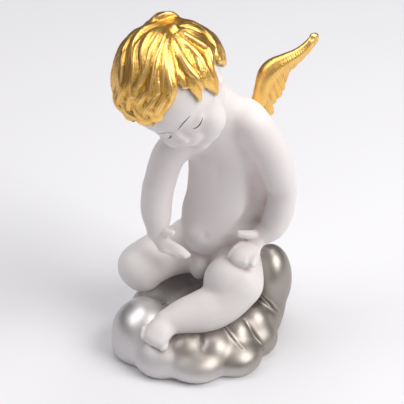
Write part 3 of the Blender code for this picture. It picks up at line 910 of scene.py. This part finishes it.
# The wings. A place on one is sideways, back and up from the left one's root, as shares of the
# wing's length; a place on its arm also has a half thickness as a share of the arm's.
WING_LENGTH = 46 * MM
WING_ARM = 11.5 * MM
WING_ARM_FULLNESS = 1.4
WING_ARM_LINE = (
    (-0.10, -0.08, -0.16, 1.0),
    (0.035, 0.00, -0.01, 0.95),
    (0.09, 0.03, 0.17, 1.05),
    (0.14, 0.065, 0.315, 1.25),
    (0.215, 0.10, 0.390, 1.25),
    (0.330, 0.13, 0.452, 1.0),
    (0.460, 0.174, 0.512, 0.75),
    (0.554, 0.217, 0.572, 0.62),
    (0.622, 0.25, 0.637, 0.54),
    (0.655, 0.28, 0.680, 0.36),
)
FEATHER_TIPS = (
    (0.64, 0.28, 0.574),
    (0.576, 0.28, 0.478),
    (0.50, 0.28, 0.383),
    (0.426, 0.28, 0.296),
    (0.36, 0.30, 0.213),
    (0.34, 0.30, 0.104),
    (0.324, 0.28, 0.022),
    (0.293, 0.26, -0.05),
    (0.23, 0.217, -0.109),
    (0.20, 0.14, -0.213),
)
SHOULDER_MIDDLE = at(8.5, 9, 99)
SHOULDER_LINE = Vector((0.96, -0.25, 0.13)).normalized()


def on_wing(side, aside, back, rise):
    """A place on the wing on that side."""
    place = at(26.5, 17, 109) + Vector((aside, back, rise)) * WING_LENGTH
    if side > 0:
        return place
    return place - 2 * (place - SHOULDER_MIDDLE).dot(SHOULDER_LINE) * SHOULDER_LINE


def make_wing(name, side):
    """A rounded arm with a row of feathers that hang from it."""
    back = Vector((-0.55 * side, 0.8, 0.2))
    thick = WING_ARM / 2 / WING_ARM_FULLNESS
    lumps, feathers = [], []
    arm = [
        (on_wing(side, *place), thick * share, thick * share) for *place, share in WING_ARM_LINE
    ]
    roll(lumps, arm, sides=28)
    spine = curve_through([(*place, share, share) for place, share, _ in arm[1:]], 4)
    wide = WING_LENGTH * 0.062
    for index, tip in enumerate(FEATHER_TIPS):
        along = spine[int((len(spine) - 1) * (1 - index / len(FEATHER_TIPS)))]
        root, end = Vector(along[:3]), on_wing(side, *tip)
        feather = [
            (root, wide, thick * 0.5),
            (root.lerp(end, 0.6), wide * 1.1, thick * 0.36),
            (end, wide * 0.7, thick * 0.26),
        ]
        feathers.append(roll(lumps, feather, upward=lambda place: back))
    wing = skinned(joined(name, lumps), 0.4 * MM, 4)
    press_strands(wing, feathers, 0.9 * MM, 0.12 * MM, 0)
    return wing


# The painted lines of the brow and the lid on each side, from the nose outwards.
PAINTED_LINES = (
    ((2.9, 25, -5.4), (7.8, 23.6, -3.3), (12.6, 21, -2.4)),
    ((7.8, 22, -10.2), (9, 21.4, -11), (10.8, 20.7, -11.2), (12.4, 19.5, -10.4), (14, 18, -9)),
    ((-0.8, 25.5, -5.8), (-4.5, 24.7, -4.6), (-8, 22.8, -4.6), (-11.5, 20.2, -5.3)),
    ((-4.2, 24.5, -8.4), (-6.5, 23, -10), (-9.2, 21.2, -10.8)),
)
LINE_WIDTH = 0.72 * MM


def make_painted_lines(skin):
    """Thin strokes of paint that follow the skin."""
    surface = BVHTree.FromPolygons(
        [vert.co for vert in skin.data.vertices],
        [tuple(face.vertices) for face in skin.data.polygons],
    )
    lumps = []
    for line in PAINTED_LINES:
        rows = curve_through(line, 6)
        stations, outs = [], []
        for index, row in enumerate(rows):
            start = on_head(*row)
            out = skull_out(start)
            hit, normal, _, _ = surface.ray_cast(start + out * 12 * MM, -out)
            taper = 0.35 + 0.65 * math.sin(math.pi * index / (len(rows) - 1))
            half = LINE_WIDTH / 2 * taper
            stations.append((hit + normal * 0.02 * MM, half, 0.07 * MM))
            outs.append(normal)
        middle = outs[len(outs) // 2]
        roll(lumps, stations, upward=lambda place, middle=middle: middle, steps=2, sides=8)
    return joined("painted_brows_and_lids", lumps)


# Finishes.

FOOT_DULLING = 0.25
# The share of the reach over which the painted shade where the hair meets the skin fades out.
CONTACT_SHADE_FADE = 0.3


def new_group(name, inputs, outputs):
    """A shader node group with named sockets."""
    group = bpy.data.node_groups.new(name, "ShaderNodeTree")
    for label, kind, value in inputs:
        socket = group.interface.new_socket(label, in_out="INPUT", socket_type=kind)
        socket.default_value = value
    for label, kind in outputs:
        group.interface.new_socket(label, in_out="OUTPUT", socket_type=kind)
    return group


def fired_unevenness():
    """Slow and fine unevenness from the kiln, as a mask and a height."""
    group = new_group(
        "fired_unevenness",
        (("Slow Size", "NodeSocketFloat", 60.0), ("Fine Size", "NodeSocketFloat", 900.0)),
        (("Mask", "NodeSocketFloat"), ("Height", "NodeSocketFloat")),
    )
    nodes, links = group.nodes, group.links
    given, made = nodes.new("NodeGroupInput"), nodes.new("NodeGroupOutput")
    place = nodes.new("ShaderNodeTexCoord")
    slow, fine = nodes.new("ShaderNodeTexNoise"), nodes.new("ShaderNodeTexNoise")
    slow.inputs["Detail"].default_value = 3
    fine.inputs["Detail"].default_value = 4
    for noise, label in ((slow, "Slow Size"), (fine, "Fine Size")):
        links.new(place.outputs["Object"], noise.inputs["Vector"])
        links.new(given.outputs[label], noise.inputs["Scale"])
    links.new(slow.outputs["Fac"], made.inputs["Mask"])
    links.new(fine.outputs["Fac"], made.inputs["Height"])
    return group


def tint_by_mask():
    """One colour, shaded towards others by a slow mask and by the masks painted on the piece, which
    carry painted shade in hollows and where the hair meets the skin, a painted highlight on ridges of
    gold and porcelain, and the silver's darker front and its foot.
    """
    group = new_group(
        "tint_by_mask",
        (
            ("Open", "NodeSocketColor", (0.8, 0.8, 0.8, 1)),
            ("Patch", "NodeSocketColor", (0.8, 0.8, 0.8, 1)),
            ("Hollow Shade", "NodeSocketColor", (0.2, 0.2, 0.2, 1)),
            ("Ridge Highlight And Tint", "NodeSocketColor", (0.9, 0.9, 0.9, 1)),
            # The dark brown colour for edges is painted shade where the hair meets the skin.
            ("Shade Edge And Dark Front", "NodeSocketColor", (0.12, 0.07, 0.03, 1)),
            ("Foot", "NodeSocketColor", (0.6, 0.6, 0.6, 1)),
            ("Patch Mask", "NodeSocketFloat", 0.5),
        ),
        (("Color", "NodeSocketColor"),),
    )
    nodes, links = group.nodes, group.links
    given, made = nodes.new("NodeGroupInput"), nodes.new("NodeGroupOutput")
    patch = nodes.new("ShaderNodeMapRange")
    patch.inputs["From Min"].default_value = 0.4
    patch.inputs["From Max"].default_value = 0.65
    links.new(given.outputs["Patch Mask"], patch.inputs["Value"])
    colour = given.outputs["Open"]
    steps = [(given.outputs["Patch"], patch.outputs["Result"])]
    # Mixed in this order: painted shade where the hair meets the skin and the silver's darker front, the
    # foot, painted shade in hollows, and the colour for ridges, a painted highlight on gold and
    # porcelain.
    for label, mask in (("Shade Edge And Dark Front", "shade_edge_and_dark_front"), ("Foot", "foot"), ("Hollow Shade", "hollow_shade"), ("Ridge Highlight And Tint", "ridge_highlight_and_tint")):
        read = nodes.new("ShaderNodeAttribute")
        read.attribute_name = mask
        steps.append((given.outputs[label], read.outputs["Fac"]))
    for other, share in steps:
        mix = nodes.new("ShaderNodeMix")
        mix.data_type = "RGBA"
        links.new(share, mix.inputs["Factor"])
        links.new(colour, mix.inputs["A"])
        links.new(other, mix.inputs["B"])
        colour = mix.outputs["Result"]
    links.new(colour, made.inputs["Color"])
    return group


def fired_finish(name, groups, colours, roughness, metallic, sizes, bump):
    """A finish with its colours for open surface, patches, hollows, ridges, edges and the foot: the
    colour for hollows is painted shade, the colour for ridges a painted highlight on gold and porcelain,
    and the colour for edges painted shade where the hair meets the skin and a darker tone on the
    silver's front.
    """
    unevenness, tint = groups
    made = bpy.data.materials.new(name)
    made.use_nodes = True
    nodes, links = made.node_tree.nodes, made.node_tree.links
    shader = nodes["Principled BSDF"]
    shader.inputs["Metallic"].default_value = metallic
    uneven, tinted = nodes.new("ShaderNodeGroup"), nodes.new("ShaderNodeGroup")
    uneven.node_tree, tinted.node_tree = unevenness, tint
    uneven.inputs["Slow Size"].default_value = sizes[0]
    uneven.inputs["Fine Size"].default_value = sizes[1]
    for label, colour in zip(("Open", "Patch", "Hollow Shade", "Ridge Highlight And Tint", "Shade Edge And Dark Front", "Foot"), colours):
        tinted.inputs[label].default_value = (*colour, 1)
    links.new(uneven.outputs["Mask"], tinted.inputs["Patch Mask"])
    links.new(tinted.outputs["Color"], shader.inputs["Base Color"])
    rough = nodes.new("ShaderNodeMapRange")
    rough.inputs["To Min"].default_value = roughness[0]
    rough.inputs["To Max"].default_value = roughness[1]
    links.new(uneven.outputs["Mask"], rough.inputs["Value"])
    foot, dulled = nodes.new("ShaderNodeAttribute"), nodes.new("ShaderNodeMath")
    foot.attribute_name = "foot"
    dulled.operation = "MULTIPLY_ADD"
    dulled.inputs[1].default_value = FOOT_DULLING
    links.new(foot.outputs["Fac"], dulled.inputs[0])
    links.new(rough.outputs["Result"], dulled.inputs[2])
    links.new(dulled.outputs["Value"], shader.inputs["Roughness"])
    grain = nodes.new("ShaderNodeBump")
    grain.inputs["Strength"].default_value = 1
    grain.inputs["Distance"].default_value = bump
    links.new(uneven.outputs["Height"], grain.inputs["Height"])
    links.new(grain.outputs["Normal"], shader.inputs["Normal"])
    return made


def mark_contact_shade(item, other, reach):
    """Paints a mask of painted shade where the item comes within reach of the other's surface, strongest
    where they touch.
    """
    surface = BVHTree.FromPolygons(
        [vert.co for vert in other.data.vertices],
        [tuple(face.vertices) for face in other.data.polygons],
    )
    values = np.zeros(len(item.data.vertices))
    for index, vert in enumerate(item.data.vertices):
        place, _, _, gap = surface.find_nearest(vert.co, reach)
        if place:
            values[index] = (1 - gap / reach) / CONTACT_SHADE_FADE
    paint_mask(item, "shade_edge_and_dark_front", values)


def dress(item, finish, slot, *nodes):
    """Gives a finished piece its finish and its place in the part."""
    item.data.materials.clear()
    item.data.materials.append(finish)
    item.data.shade_smooth()
    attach(item, "root")
    if nodes:
        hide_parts(*nodes)


# The studio.

CAMERA_AIM = Vector((0, 0, 0.085))
CAMERA_DISTANCE = 0.85
CAMERA_RISE = math.radians(33)
LENS_LENGTH = 146.6
LIGHT_AIM = Vector((0, 0, 0.09))

# Each soft box: its name, place, width, height, power and colour.
SOFT_BOXES = (
    ("right_window", (0.85, -0.35, 0.95), 0.9, 0.9, 14, (1.0, 0.985, 0.965)),
    ("overhead", (0.0, 0.35, 1.4), 1.1, 0.8, 9.5, (1.0, 0.99, 0.995)),
    ("front_window", (-0.25, -0.95, 1.1), 0.5, 0.4, 0.5, (1.0, 0.97, 0.95)),
    ("left_window", (-0.75, -0.05, 1.15), 0.7, 0.7, 4.5, (0.99, 0.985, 1.0)),
    ("front_card", (-0.5, -1.2, 0.6), 1.4, 0.9, 1.6, (1.0, 0.97, 0.94)),
)


def make_camera():
    """Looks down at the figure from 33 degrees above the floor."""
    lens = bpy.data.cameras.new("camera")
    camera = bpy.data.objects.new("camera", lens)
    bpy.context.scene.collection.objects.link(camera)
    back = Vector((0, -math.cos(CAMERA_RISE), math.sin(CAMERA_RISE)))
    camera.location = CAMERA_AIM + back * CAMERA_DISTANCE
    camera.rotation_euler = (-back).to_track_quat("-Z", "Y").to_euler()
    lens.sensor_width = 36
    lens.lens = LENS_LENGTH
    lens.clip_start, lens.clip_end = 0.05, 20
    bpy.context.scene.camera = camera


def soft_light(name, place, wide, high, power, colour):
    """A soft box that faces the figure."""
    lamp = bpy.data.lights.new(name, "AREA")
    lamp.shape = "RECTANGLE"
    lamp.size, lamp.size_y = wide, high
    lamp.energy = power
    lamp.color = colour
    item = bpy.data.objects.new(name, lamp)
    bpy.context.scene.collection.objects.link(item)
    item.location = place
    item.rotation_euler = (LIGHT_AIM - Vector(place)).to_track_quat("-Z", "Y").to_euler()


def make_studio():
    """A pale floor, soft boxes and a dim room."""
    bpy.ops.mesh.primitive_plane_add(size=30)
    floor = bpy.context.active_object
    floor.name = "floor"
    paper = bpy.data.materials.new("pale_paper")
    paper.use_nodes = True
    shader = paper.node_tree.nodes["Principled BSDF"]
    shader.inputs["Base Color"].default_value = (0.81, 0.815, 0.84, 1)
    shader.inputs["Roughness"].default_value = 0.9
    shader.inputs["Specular IOR Level"].default_value = 0.1
    floor.data.materials.append(paper)
    for box in SOFT_BOXES:
        soft_light(*box)
    # The card shows in shiny surfaces alone.
    bpy.data.objects["front_card"].visible_diffuse = False
    room = bpy.data.worlds.new("room")
    room.use_nodes = True
    back = room.node_tree.nodes["Background"]
    back.inputs["Color"].default_value = (0.92, 0.80, 0.80, 1)
    back.inputs["Strength"].default_value = 0.075
    bpy.context.scene.world = room
    bpy.context.scene.view_settings.view_transform = "Standard"


def main():
    make_camera()
    groups = fired_unevenness(), tint_by_mask()
    # The porcelain's colour for hollows is painted shade and its colour for ridges a painted highlight.
    bisque = fired_finish(
        "matt_bisque",
        groups,
        ((0.82, 0.775, 0.77), (0.80, 0.745, 0.745), (0.72, 0.62, 0.60), (0.85, 0.83, 0.83)),
        (0.5, 0.62),
        0,
        (45, 2600),
        0.00004,
    )
    # The gold's colour for hollows is painted shade in its grooves and its colour for ridges a painted
    # highlight; it keeps the group's dark brown for edges, painted shade where the hair meets the skin.
    gold = fired_finish(
        "gold_lustre_glaze",
        groups,
        ((0.95, 0.56, 0.12), (0.86, 0.48, 0.09), (0.40, 0.16, 0.02), (1.0, 0.80, 0.44)),
        (0.32, 0.44),
        1,
        (120, 1500),
        0.00005,
    )
    # The silver's colour for hollows is painted shade in its creases and its colour for ridges a warmer
    # tone; its fifth colour is the darker, warmer front and side, and its sixth the rougher foot's.
    silver = fired_finish(
        "silver_lustre_glaze",
        groups,
        ((0.80, 0.79, 0.795), (0.72, 0.71, 0.715), (0.16, 0.135, 0.125), (0.70, 0.67, 0.63),
         (0.32, 0.28, 0.245), (0.74, 0.72, 0.735)),
        (0.38, 0.46),
        0.9,
        (50, 1200),
        0.00003,
    )
    paint = fired_finish(
        "brushed_brown_paint",
        groups,
        ((0.10, 0.075, 0.07), (0.14, 0.10, 0.09), (0.06, 0.05, 0.05), (0.16, 0.12, 0.11)),
        (0.5, 0.6),
        0,
        (300, 3000),
        0.00002,
    )
    skin = make_skin()
    lines = make_painted_lines(skin)
    thinned(skin, 190000)
    # Painted shade in the hollows and painted highlights on the ridges of each piece.
    mark_painted_shade_and_highlight(skin, 0.25 * MM, 6)
    hair = make_hair()
    mark_painted_shade_and_highlight(hair, 0.22 * MM, 3)
    # Painted shade on the hair where it comes near the skin.
    mark_contact_shade(hair, skin, 2.3 * MM)
    cloud = make_cloud()
    mark_painted_shade_and_highlight(cloud, 0.4 * MM, 5)
    wings = [make_wing("gilded_wing_left", 1), make_wing("gilded_wing_right", -1)]
    for wing in wings:
        mark_painted_shade_and_highlight(wing, 0.15 * MM, 3)
    dress(skin, bisque, "bisque_porcelain", "cherub_figure")
    dress(lines, paint, "bisque_porcelain")
    dress(hair, gold, "gold_lustre")
    dress(cloud, silver, "silver_lustre", "cloud_base")
    dress(wings[0], gold, "gold_lustre", "left_wing")
    dress(wings[1], gold, "gold_lustre", "right_wing")
    make_studio()


main()
